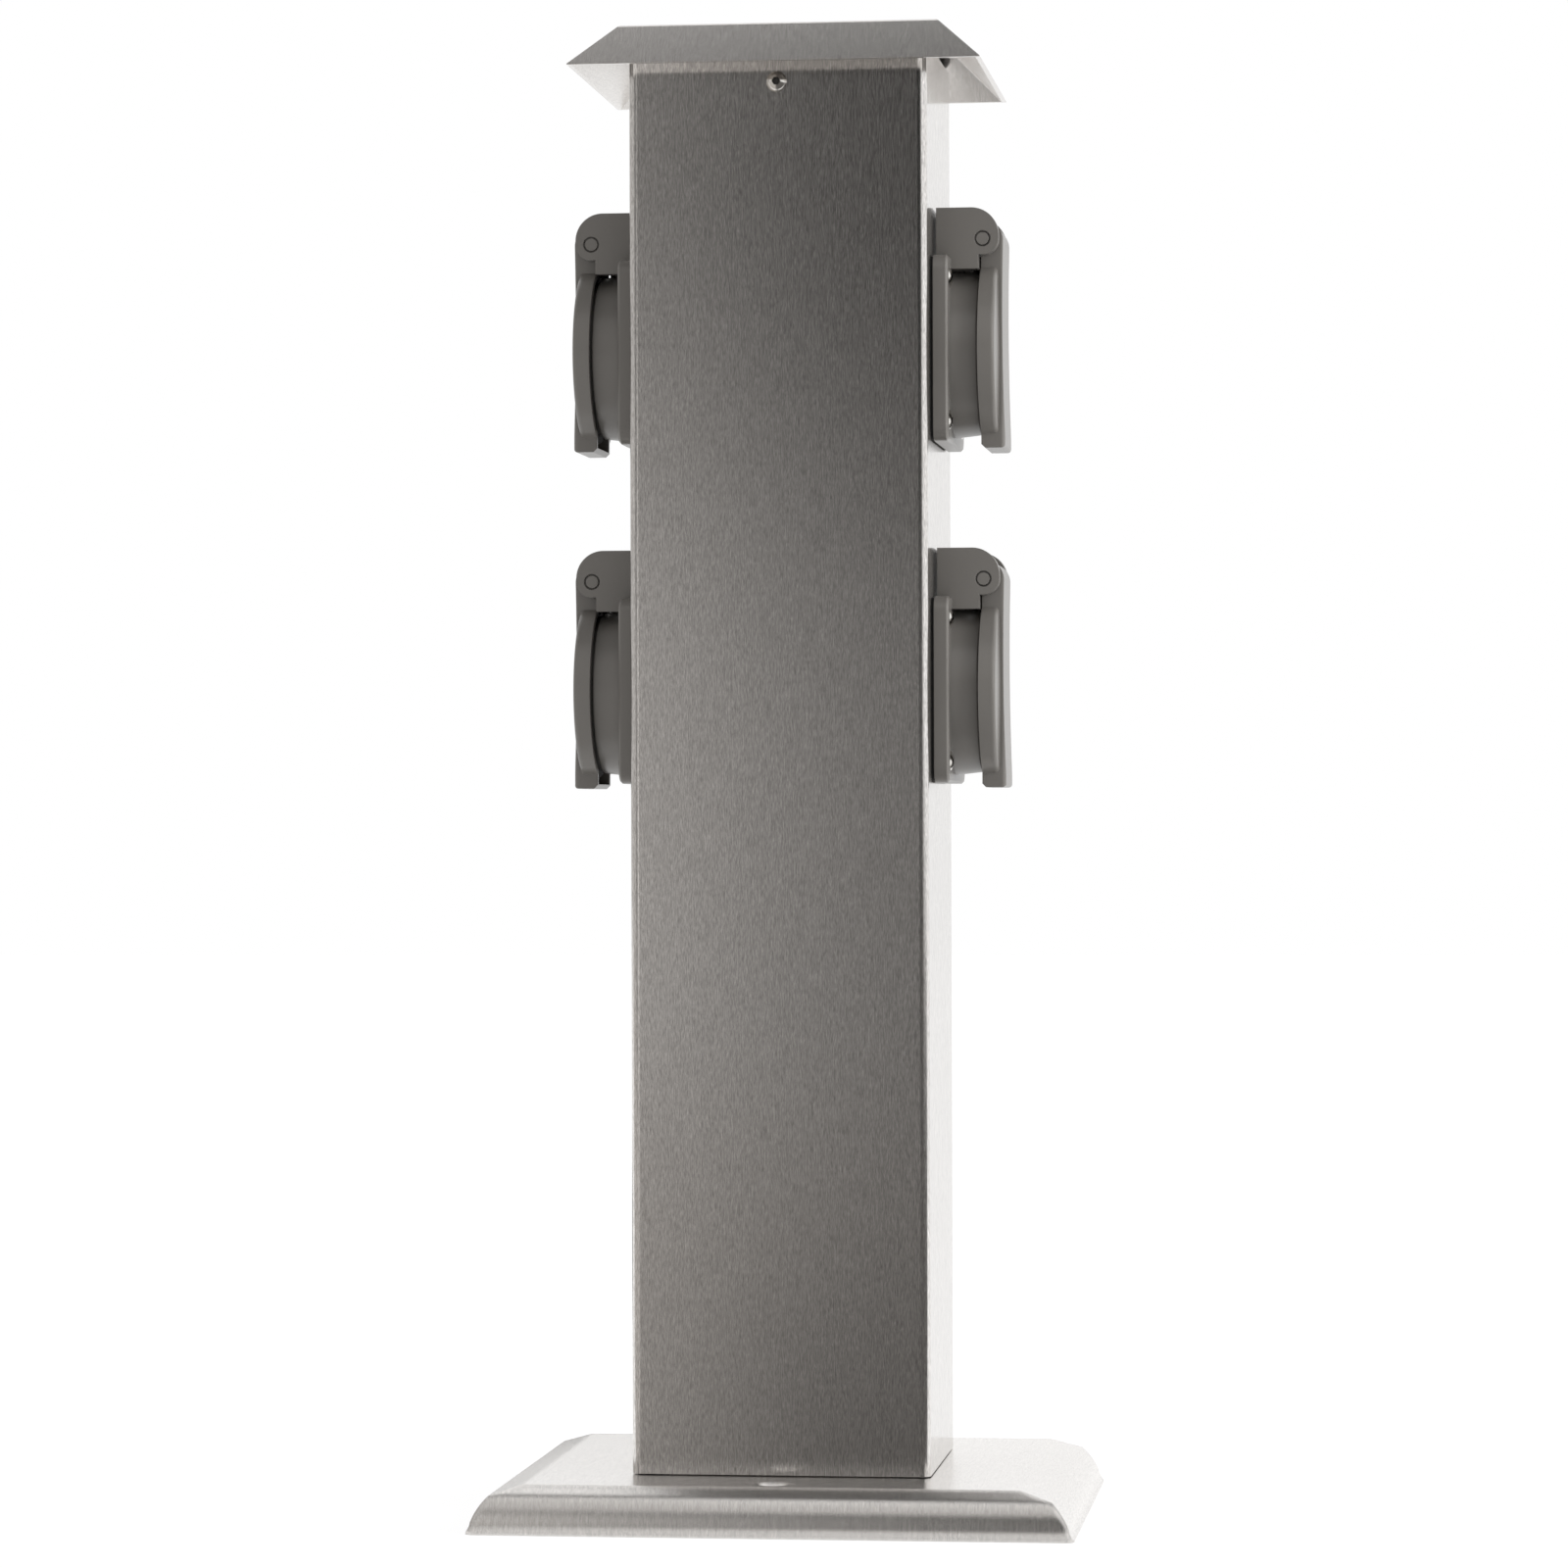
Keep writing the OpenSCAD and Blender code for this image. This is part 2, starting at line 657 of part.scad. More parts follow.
// Insert: the well with its floor, guide ribs, pin holes and slots for the earth clip
module insert(o) {
    color(GREY) at_outlet(o) difference() {
        union() {
            difference() {
                bar_x(housing_front, well_mouth, well_outer_r);
                bar_x(well_floor, well_mouth + 1, well_r);
                translate([well_mouth - mouth_bevel, 0, 0]) rotate([0, 90, 0])
                    cylinder(mouth_bevel + EPS, r1 = well_r, r2 = well_r + mouth_bevel);
            }
            // Guide ribs left and right
            for (s = [-1, 1]) intersection() {
                translate([0, s*guide_out, 0])
                    block([well_floor - EPS, -guide_half_w, -guide_half_h],
                          [well_mouth - guide_stop, guide_half_w, guide_half_h]);
                bar_x(well_floor - 1, well_mouth, well_outer_r - 0.2);
            }
        }
        for (s = [-1, 1]) translate([0, s*pin_hole_out, 0])
            bar_x(housing_front - 1, well_floor + 1, pin_hole_r);
        for (s = [0, 1]) mirror([0, 0, s])
            block([housing_front - 1, -clip_w/2 - clip_gap, clip_r - clip_t - clip_crest - 0.3],
                  [arm_end + 0.5, clip_w/2 + clip_gap, well_outer_r + 1]);
    }
}

// Sleeves that grip the plug's pins, slit at the mouth
sleeve_r = 3.2;
sleeve_bore = 2.4;
sleeve_len = 19;
module line_contacts(o) {
    front = housing_front - 0.2;
    color(BRASS) at_outlet(o) for (s = [-1, 1]) translate([0, s*pin_hole_out, 0]) difference() {
        bar_x(front - sleeve_len, front, sleeve_r);
        bar_x(front - sleeve_len + 2, front + 1, sleeve_bore);
        block([front - 10, -0.4, -sleeve_r - 1], [front + 1, 0.4, sleeve_r + 1]);
    }
}

// Earth clip: a strip across the back of the floor, with a sprung arm along the well above and below
module earth_clip(o) {
    back = housing_front - 0.2 - clip_t;
    crest = (well_floor + arm_end)/2;
    arm = [[back, clip_r - clip_t], [back, clip_r], [arm_end, clip_r], [arm_end, clip_r - clip_t],
        [crest + 2, clip_r - clip_t - clip_crest], [crest - 2, clip_r - clip_t - clip_crest],
        [well_floor, clip_r - clip_t]];
    color(BRASS) at_outlet(o) {
        for (s = [0, 1]) mirror([0, 0, s]) side_profile(clip_w/2) polygon(arm);
        block([back, -clip_w/2, -clip_r + EPS], [back + clip_t, clip_w/2, clip_r - EPS]);
    }
}

// Rear housing: the terminal body behind the well, flattened above and below
module rear_housing(o) {
    flat_z = 17.5;
    color(BLACK) at_outlet(o) difference() {
        intersection() {
            bar_x(-rear_depth, housing_front, well_outer_r - 0.4);
            block([-rear_depth, -well_outer_r, -flat_z], [housing_front, well_outer_r, flat_z]);
        }
        for (s = [-1, 1]) translate([0, s*pin_hole_out, 0])
            bar_x(housing_front - sleeve_len - 0.4, housing_front + 1, sleeve_r + 0.1);
        block([housing_front - clip_t - 0.4, -clip_w/2 - clip_gap, -flat_z - 1],
              [housing_front + 1, clip_w/2 + clip_gap, flat_z + 1]);
        for (y = [-wire_y, 0, wire_y]) translate([0, y, wire_rise])
            bar_x(-rear_depth - 1, -rear_depth + wire_hole_depth, wire_r + wire_gap);
        // Screw holes of the three terminals
        for (y = [-wire_y, 0, wire_y]) translate([-rear_depth + 4, y, 0])
            bar_z(wire_rise + wire_r + 1, flat_z + 1, 1.7);
    }
}

// Raised head screws that hold the four frames
module flange_screws() {
    color(STEEL) for (o = OUTLETS) at_outlet(o) flange_screw_places()
        translate([flange_face, 0, 0]) rotate([0, 0, -90]) raised_screw(flange_face + 4);
}

// Raised head screw along local Y, with a cross recess
module raised_screw(length) {
    dome_r = (m3_head_r*m3_head_r + 0.9*0.9)/1.8;
    rotate([-90, 0, 0]) {
        translate([0, 0, -length]) cylinder(length + EPS, r = m3_r);
        difference() {
            intersection() {
                cylinder(0.9, r = m3_head_r);
                translate([0, 0, 0.9 - dome_r]) sphere(dome_r);
            }
            for (turn = [0, 90]) rotate([0, 0, turn])
                translate([-1.4, -0.3, 0.35]) cube([2.8, 0.6, 1]);
        }
    }
}

// Side outline of the strap: back edge, tab end, faintly hollow front and the knuckle
module strap_outline() {
    polygon(concat(
        [[lid_back, pin_z - 3], [lid_back, -tab_drop + 1], [lid_back + 1, -tab_drop]],
        arc([tab_x - 1, -tab_drop + 1], 1, -90, 0, 4),
        bow([tab_x, -tab_drop + 3], [strap_face, pin_z], 0.45, 8),
        [[pin_x, pin_z]]));
    translate([pin_x, pin_z]) {
        circle(hub_r);
        intersection() {
            circle(knuckle_r);
            polygon([[0, 0], [0, -9], [9, -9], [9, 9], 9*[cos(step_angle), sin(step_angle)]]);
        }
    }
}

// Lid: a shallow round shell with a strap down its middle that ends in a finger tab
module lid(o) {
    front = lid_back + lid_depth;
    ease = 1.1;
    wall_in = strap_half - 1.6;
    color(GREY) at_outlet(o) difference() {
        union() {
            translate([lid_back, 0, 0]) rotate([0, 90, 0]) rotate_extrude()
                polygon(concat([[0, 0], [lid_r, 0]],
                    arc([lid_r - ease, lid_depth - ease], ease, 0, 82, 5), [[0, lid_depth + 0.5]]));
            intersection() {
                side_profile(strap_half) strap_outline();
                // Rounds the strap's long front edges
                translate([-tab_x, 0, -2*tab_drop]) linear_extrude(4*tab_drop)
                    rounded_rect(4*tab_x, 2*strap_half, strap_edge_r);
            }
        }
        // Hollow of the round shell
        bar_x(lid_back - 1, skin_inner, lid_r - rim_wall);
        // Hollow of the finger tab and of the strap under the knuckle
        block([lid_back - 1, -wall_in, -tab_drop + 1.2],
              [strap_face - strap_skin - 0.6, wall_in, -lid_r + rim_wall + 4]);
        block([lid_back - 1, -wall_in, lid_r - rim_wall - 4],
              [strap_face - strap_skin, wall_in, pin_z - knuckle_r - 0.4]);
        // Pocket of the spring, open at the back, and the bore of the pin
        block([lid_back - 1, -pocket_half, pin_z - knuckle_r - 1],
              [strap_face - strap_skin, pocket_half, pin_z]);
        translate([pin_x, 0, pin_z]) {
            bar_y(-pocket_half, pocket_half, hub_r + 0.05);
            bar_y(-strap_half - 1, strap_half + 1, pin_r + hinge_fit);
        }
    }
}

module lid_seal(o) {
    color(BLACK) at_outlet(o) difference() {
        bar_x(seal_face, skin_inner, lid_r - rim_wall - 0.3);
        bar_x(seal_face - 1, skin_inner + 1, well_r - 0.4);
    }
}

module hinge_pin(o) {
    color(STEEL) at_outlet(o) translate([pin_x, 0, pin_z]) bar_y(-pin_half, pin_half, pin_r);
}

// Close-wound torsion spring: its turns as one grooved sleeve, with a leg on the bracket's
// seat and a leg behind the lid's skin
module lid_spring(o) {
    color(STEEL) at_outlet(o) translate([pin_x, 0, pin_z]) {
        rotate([90, 0, 0]) rotate_extrude() translate([spring_coil_r, 0]) difference() {
            square([2*spring_wire_r, 2*(spring_half + spring_wire_r)], center = true);
            for (i = [2:spring_turns - 2])
                translate([spring_wire_r, -spring_half + (i - 0.5)*spring_pitch])
                    rotate(45) square(spring_wire_r/2, center = true);
        }
        translate([-spring_coil_r, -spring_half, 0])
            bar_z(bracket_bottom - pin_z + 0.6, 0, spring_leg_r);
        translate([spring_coil_r, spring_half, 0]) bar_z(-5.2, 0, spring_leg_r);
    }
}

base_plate();
column();
cap();
cap_bracket();
cap_screws();
foot_bracket_front();
foot_bracket_back();
foot_screws();
cable_gland();
gland_nut();
flange_screws();
terminal_plate();
terminal_block();
earth_stud();
earth_nut();
live_wire();
neutral_wire();
earth_wire();
for (o = OUTLETS) {
    frame(o);
    flange_gasket(o);
    insert(o);
    line_contacts(o);
    earth_clip(o);
    rear_housing(o);
    lid(o);
    lid_seal(o);
    hinge_pin(o);
    lid_spring(o);
}
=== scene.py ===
import math
import bpy
from mathutils import Matrix, Vector

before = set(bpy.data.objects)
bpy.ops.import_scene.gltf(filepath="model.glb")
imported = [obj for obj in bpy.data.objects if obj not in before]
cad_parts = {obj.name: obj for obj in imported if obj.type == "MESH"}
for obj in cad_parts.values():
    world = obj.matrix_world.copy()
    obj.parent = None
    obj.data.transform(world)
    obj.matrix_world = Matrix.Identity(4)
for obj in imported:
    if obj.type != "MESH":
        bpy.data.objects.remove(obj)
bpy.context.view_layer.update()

# Camera
# A long lens stands 1.4 m in front of the post, a little to its right, at the height of
# the lower outlets. It looks almost level, so the cap shows its underside and the base its top.
image_width, focal_length = 1600, 5370.3    # in pixels of the photograph
camera_data = bpy.data.cameras.new("camera")
camera_data.sensor_width = 36.0
camera_data.lens = focal_length/image_width*camera_data.sensor_width
camera = bpy.data.objects.new("camera", camera_data)
camera_place = (0.17045, -1.42476, 0.18590)
yaw, pitch, roll = 0.1210, 0.0077, -0.0028    # in radians
ahead = Vector((-math.sin(yaw)*math.cos(pitch), math.cos(yaw)*math.cos(pitch), math.sin(pitch)))
level = Vector((math.cos(yaw), math.sin(yaw), 0.0))
upward = level.cross(ahead)
right = level*math.cos(roll) + upward*math.sin(roll)
up = upward*math.cos(roll) - level*math.sin(roll)
turn = Matrix((right, up, -ahead)).transposed()
camera.matrix_world = Matrix.Translation(camera_place) @ turn.to_4x4()
bpy.context.scene.collection.objects.link(camera)
bpy.context.scene.camera = camera
bpy.context.scene.view_settings.view_transform = "Standard"


# Studio
# A white room with a white floor. What stands behind the camera and hangs overhead is darker
# than the room, and steel shows it: the column's front and the cap's slopes are grey, while its
# right face is as white as the room behind.
def colour(hexa):
    """An sRGB hex colour as linear RGBA."""
    parts = [int(hexa[i:i + 2], 16)/255 for i in (1, 3, 5)]
    return tuple(c/12.92 if c <= 0.04045 else ((c + 0.055)/1.055)**2.4 for c in parts) + (1.0,)


def add_node(tree, kind, settings=(), links=()):
    """Adds a node; settings are its properties or inputs by name, links its inputs by name."""
    made = tree.nodes.new(kind)
    for name, value in dict(settings).items():
        if isinstance(name, str) and hasattr(made, name):
            setattr(made, name, value)
        else:
            made.inputs[name].default_value = value
    for name, socket in dict(links).items():
        tree.links.new(socket, made.inputs[name])
    return made


world = bpy.data.worlds.new("white room")
bpy.context.scene.world = world
world.use_nodes = True
sky = world.node_tree
sky.nodes.clear()
# Reflections show the room greyer low down, in front of the post and to its left
white, grey_wall = colour("#ffffff"), colour("#c0bebc")
grey_side, white_at, grey_at = (-0.75, -0.66, -0.8), -0.55, 0.15
direction = add_node(sky, "ShaderNodeTexCoord")
facing = add_node(sky, "ShaderNodeVectorMath", {"operation": "DOT_PRODUCT", 1: grey_side},
    {0: direction.outputs["Generated"]})
greyness = add_node(sky, "ShaderNodeMapRange", {"interpolation_type": "SMOOTHSTEP",
    "From Min": white_at, "From Max": grey_at}, {"Value": facing.outputs["Value"]})
# A Mix node takes colours at its inputs 6 and 7, and numbers at 2 and 3
room = add_node(sky, "ShaderNodeMix", {"data_type": "RGBA", 6: white, 7: grey_wall},
    {0: greyness.outputs[0]})
ray = add_node(sky, "ShaderNodeLightPath")
seen = add_node(sky, "ShaderNodeMix", {"data_type": "RGBA", 7: white},
    {0: ray.outputs["Is Camera Ray"], 6: room.outputs[2]})
air = add_node(sky, "ShaderNodeBackground", {"Strength": 1.0}, {"Color": seen.outputs[2]})
add_node(sky, "ShaderNodeOutputWorld", links={"Surface": air.outputs[0]})


def new_material(name):
    """An empty node material with its output; returns the material, its tree and the output."""
    made = bpy.data.materials.new(name)
    made.use_nodes = True
    made.node_tree.nodes.clear()
    return made, made.node_tree, add_node(made.node_tree, "ShaderNodeOutputMaterial")


def flat_sheet(name, corner, opposite, material):
    """A flat rectangle between two opposite corners, upright or level."""
    (x1, y1, z1), (x2, y2, z2) = corner, opposite
    mesh = bpy.data.meshes.new(name)
    mesh.from_pydata([(x1, y1, z1), (x2, y1, z1), (x2, y2, z2), (x1, y2, z2)], [], [(0, 1, 2, 3)])
    mesh.materials.append(material)
    made = bpy.data.objects.new(name, mesh)
    bpy.context.scene.collection.objects.link(made)
    return made


# The floor is bright paper. Its reflection is grey in front of the post, and darker to the right
floor_reach = 6.0    # in metres, to each side
white_until, grey_from = -0.064, -0.09    # along Y, from just before the base's front edge
paper_glow, grey_left, grey_right = 0.85, 0.5, 0.11
aslant, left_at, right_at = (1.0, -0.13, 0.0), -0.12, 0.04    # along X, a little turned
paper, tree, out = new_material("white paper floor")
spot = add_node(tree, "ShaderNodeNewGeometry")
split = add_node(tree, "ShaderNodeSeparateXYZ", links={0: spot.outputs["Position"]})
front = add_node(tree, "ShaderNodeMapRange", {"interpolation_type": "SMOOTHSTEP",
    "From Min": white_until, "From Max": grey_from}, {"Value": split.outputs["Y"]})
ray = add_node(tree, "ShaderNodeLightPath")
mirrored = add_node(tree, "ShaderNodeMath", {"operation": "MULTIPLY"},
    {0: front.outputs[0], 1: ray.outputs["Is Glossy Ray"]})
glow = add_node(tree, "ShaderNodeEmission", {"Color": white, "Strength": paper_glow})
matt = add_node(tree, "ShaderNodeBsdfDiffuse", {"Color": colour("#7c7c7c")})
both = add_node(tree, "ShaderNodeAddShader", links={0: glow.outputs[0], 1: matt.outputs[0]})
sideways = add_node(tree, "ShaderNodeVectorMath", {"operation": "DOT_PRODUCT", 1: aslant},
    {0: spot.outputs["Position"]})
across = add_node(tree, "ShaderNodeMapRange", {"interpolation_type": "SMOOTHSTEP",
    "From Min": left_at, "From Max": right_at, "To Min": grey_left, "To Max": grey_right},
    {"Value": sideways.outputs["Value"]})
shade = add_node(tree, "ShaderNodeEmission", {"Color": colour("#fffaf5")},
    {"Strength": across.outputs[0]})
shown = add_node(tree, "ShaderNodeMixShader",
    links={0: mirrored.outputs[0], 1: both.outputs[0], 2: shade.outputs[0]})
tree.links.new(shown.outputs[0], out.inputs[0])
floor = flat_sheet("floor", (-floor_reach, -floor_reach, 0), (floor_reach, floor_reach, 0), paper)


def card(name, material_name, corner, opposite, brightness, fades=()):
    """A glowing felt card that only reflections show. Each fade is an axis, the two places
    along it where it starts and ends, and the share of the brightness at each."""
    felt, tree, out = new_material(material_name)
    spot = add_node(tree, "ShaderNodeNewGeometry")
    split = add_node(tree, "ShaderNodeSeparateXYZ", links={0: spot.outputs["Position"]})
    # The felt's tufts vary its brightness by 3 percent
    tufts = add_node(tree, "ShaderNodeTexNoise", {"Scale": 400.0, "Detail": 2.0})
    bright = add_node(tree, "ShaderNodeMapRange",
        {"To Min": 0.97*brightness, "To Max": 1.03*brightness}, {"Value": tufts.outputs[0]})
    for axis, start, end, at_start, at_end in fades:
        fade = add_node(tree, "ShaderNodeMapRange", {"interpolation_type": "SMOOTHSTEP",
            "From Min": start, "From Max": end, "To Min": at_start, "To Max": at_end},
            {"Value": split.outputs[axis]})
        bright = add_node(tree, "ShaderNodeMath", {"operation": "MULTIPLY"},
            {0: bright.outputs[0], 1: fade.outputs[0]})
    glow = add_node(tree, "ShaderNodeEmission", {"Color": colour("#fffcf9")},
        {"Strength": bright.outputs[0]})
    tree.links.new(glow.outputs[0], out.inputs[0])
    made = flat_sheet(name, corner, opposite, felt)
    made.visible_camera = False
    made.visible_diffuse = False
    made.visible_shadow = False


# Behind the camera, side by side: pale at the left, dark at the right and towards the top. The
# column's front shows where they meet, so it grows darker to the right and upwards
cards_y, cards_top, cards_meet = -2, 0.85, -0.34
to_right = ("X", -0.48, -0.24, 0.86, 0.1)
card("left_card", "felt grey pale", (-2.2, cards_y, 0), (cards_meet, cards_y, cards_top), 1.0,
    [to_right, ("X", -1.2, -0.55, 0.35, 1.0), ("Z", 0.2, 0.65, 1.0, 0.58)])
card("right_card", "felt grey dark", (cards_meet, cards_y, 0), (1.6, cards_y, cards_top), 1.0,
    [to_right, ("Z", 0.2, 0.65, 1.0, 0.05)])
# Overhead, darker to the right and towards the front: the cap's slope and the base's band show it
overhead_z = 0.9
card("overhead_card", "felt grey overhead", (-0.6, -0.42, overhead_z), (0.6, 0.1, overhead_z), 1.0,
    [("X", -0.14, 0.02, 0.2, 0.055), ("Y", -0.05, -0.25, 1.0, 0.4)])
# Low behind, to the left, which darkens the band across the base's left edge
card("low_card", "felt black", (-0.6, 0.5, 0), (-0.1, 0.5, 0.05), 0.06)

# A soft lamp to the right, a little in front, which the column keeps off the outlets on its
# left; it shows in no reflection
lamp_data = bpy.data.lights.new("soft lamp", "AREA")
lamp_data.size = 0.7       # in metres
lamp_data.energy = 12.0    # in watts
lamp = bpy.data.objects.new("soft_lamp", lamp_data)
lamp_place, lamp_target = Vector((1.35, -0.4, 0.6)), Vector((0, 0, 0.2))
lamp_turn = (lamp_target - lamp_place).to_track_quat("-Z", "Y")
lamp.matrix_world = Matrix.Translation(lamp_place) @ lamp_turn.to_matrix().to_4x4()
bpy.context.scene.collection.objects.link(lamp)
lamp.visible_glossy = False


# Column
# A rectangular tube of 1.5 mm stainless sheet, 80 by 70 mm, with small bend radii, standing on
# the base plate with a hairline gap. Its faces are ground with a belt from top to bottom.
def dress(names, material, sharp_from=35):
    """Gives CAD nodes one material, and smooth shading but for folds sharper than the angle."""
    for name in names:
        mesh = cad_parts[name].data
        mesh.materials.clear()
        mesh.materials.append(material)
        mesh.shade_smooth()
        mesh.set_sharp_from_angle(angle=math.radians(sharp_from))


def ground_steel(name, grain, dark, pale, roughness, anisotropy, fold):
    """Belt-ground stainless: grain is a scratch's size along X, Y and Z and fold the radius
    that softens its folds, in mm; dark and pale are the colours between which it varies."""
    made, tree, out = new_material(name)
    place = add_node(tree, "ShaderNodeTexCoord").outputs["Object"]
    near = add_node(tree, "ShaderNodeMapping", {"Scale": [1000/g for g in grain]},
        {"Vector": place})
    scratch = add_node(tree, "ShaderNodeTexNoise",
        {"Scale": 1.0, "Detail": 2.0, "Roughness": 0.6}, {"Vector": near.outputs[0]})
    # One scratch in a few is three times as long
    long_share, longer = 0.35, [g*3 if g > 1 else g for g in grain]
    far = add_node(tree, "ShaderNodeMapping", {"Scale": [1000/g for g in longer]},
        {"Vector": place})
    streak = add_node(tree, "ShaderNodeTexNoise", {"Scale": 1.0, "Detail": 2.0},
        {"Vector": far.outputs[0]})
    grinding = add_node(tree, "ShaderNodeMix", {"data_type": "FLOAT", 0: long_share},
        {2: scratch.outputs[0], 3: streak.outputs[0]})
    # A noise keeps mostly between 0.3 and 0.7, which is stretched over the whole range
    tone = add_node(tree, "ShaderNodeMapRange", {"From Min": 0.32, "From Max": 0.68},
        {"Value": grinding.outputs[0]})
    shade = add_node(tree, "ShaderNodeMix",
        {"data_type": "RGBA", 6: colour(dark), 7: colour(pale)}, {0: tone.outputs[0]})
    spread = 0.01
    rough = add_node(tree, "ShaderNodeMapRange", {"From Min": 0.3, "From Max": 0.7,
        "To Min": roughness - spread, "To Max": roughness + spread}, {"Value": streak.outputs[0]})
    soft_fold = add_node(tree, "ShaderNodeBevel", {"samples": 6, "Radius": fold/1000})
    scratch_depth = 0.01
    relief = add_node(tree, "ShaderNodeBump", {"Strength": 0.12, "Distance": scratch_depth/1000},
        {"Height": scratch.outputs[0], "Normal": soft_fold.outputs[0]})
    upright = add_node(tree, "ShaderNodeTangent", {"direction_type": "RADIAL", "axis": "Z"})
    steel = add_node(tree, "ShaderNodeBsdfPrincipled",
        {"Metallic": 1.0, "Anisotropic": anisotropy},
        {"Base Color": shade.outputs[2], "Roughness": rough.outputs[0],
         "Normal": relief.outputs[0], "Tangent": upright.outputs[0]})
    tree.links.new(steel.outputs[0], out.inputs[0])
    return made


# The scratches run from top to bottom, so the steel blurs what it shows mostly sideways. One of a
# 240 grit belt is 0.1 mm wide; it is drawn 0.24 mm wide and 1.7 mm long so that it shows
scratch_width, scratch_length = 0.24, 1.7
column_steel = ground_steel("stainless steel ground lengthways",
    (scratch_width, scratch_width, scratch_length), "#bab7b4", "#fbf8f5",
    roughness=0.18, anisotropy=0.6, fold=0.2)
dress(["column"], column_steel)

# Base plate
# One pressed sheet of stainless with mitred corners. Its flat top slopes off at a crisp edge, and
# a rounded rim flares out to the lip that stands on the ground. It is ground from front to back
# before pressing, which draws it smoother than the column, so its scratches hardly show.
base_steel = ground_steel("stainless steel ground front to back and pressed",
    (scratch_width, scratch_length, scratch_length), "#e2dfdc", "#fbf8f5",
    roughness=0.25, anisotropy=0.3, fold=2.6)
dress(["base_plate"], base_steel, sharp_from=25)

# Cap
# A folded lid of the same sheet, held by a screw in front and one behind that run into a
# plain bracket under its flat top. Its slopes are satin, with crisp mitres.
cap_steel = ground_steel("stainless steel ground front to back and folded",
    (scratch_width, scratch_length, scratch_length), "#d2cfcc", "#eae7e4",
    roughness=0.24, anisotropy=0.3, fold=0.3)
dress(["cap", "cap_bracket"], cap_steel, sharp_from=25)


# Screws and springs
# Cold headed stainless screws with button heads, and springs wound of stainless wire: one screw
# in each end of the cap's bracket, four in each flange and four in the foot.
def bright_metal(name, hexa, roughness):
    """Metal polished or plated, with a faint dimpled skin, and painted shade that darkens its
    recesses.
    """
    made, tree, out = new_material(name)
    place = add_node(tree, "ShaderNodeTexCoord")
    # A dimple of barrel polishing is about 0.5 mm wide
    dimple_width, dimple_depth = 0.5, 0.02
    dimple = add_node(tree, "ShaderNodeTexNoise", {"Scale": 1000/dimple_width, "Detail": 2.0},
        {"Vector": place.outputs["Object"]})
    smoothest, roughest = 0.7, 1.4    # as shares of the roughness
    rough = add_node(tree, "ShaderNodeMapRange",
        {"To Min": roughness*smoothest, "To Max": roughness*roughest},
        {"Value": dimple.outputs[0]})
    relief = add_node(tree, "ShaderNodeBump", {"Strength": 0.2, "Distance": dimple_depth/1000},
        {"Height": dimple.outputs[0]})
    # A hexagon socket is about 1.5 mm deep; at its bottom little more than a third of the sky is
    # open, and on a free face nearly all of it
    recess_depth, shut, free = 1.5, 0.35, 0.85
    open_sky = add_node(tree, "ShaderNodeAmbientOcclusion",
        {"samples": 8, "Distance": recess_depth/1000})
    painted_recess_shade = add_node(tree, "ShaderNodeMapRange", {"From Min": shut, "From Max": free},
        {"Value": open_sky.outputs["AO"]})
    # Painted shade: the colour darkens towards #55524f where a recess shuts out the sky
    shade = add_node(tree, "ShaderNodeMix",
        {"data_type": "RGBA", 6: colour("#55524f"), 7: colour(hexa)}, {0: painted_recess_shade.outputs[0]})
    metal = add_node(tree, "ShaderNodeBsdfPrincipled", {"Metallic": 1.0},
        {"Base Color": shade.outputs[2], "Roughness": rough.outputs[0],
         "Normal": relief.outputs[0]})
    tree.links.new(metal.outputs[0], out.inputs[0])
    return made


PLACES = ("right_upper", "right_lower", "left_upper", "left_lower")
# The barrel leaves a mirror that shows a bright ring round each socket, which painted shade
# darkens
screw_steel = bright_metal("stainless steel barrel polished", "#e8e5e0", 0.13)
dress(["cap_screws", "flange_screws", "foot_screws"] + ["lid_spring_" + p for p in PLACES],
    screw_steel)

# Foot brackets and terminal plate
# Angles of folded steel sheet that are welded in the column's foot and take the foot screws, and
# the plate inside that carries the terminals. Zinc plating leaves them duller and a little blue.
zinc = bright_metal("steel sheet zinc plated", "#c4c7ca", 0.34)
dress(["foot_bracket_front", "foot_bracket_back", "terminal_plate"], zinc)


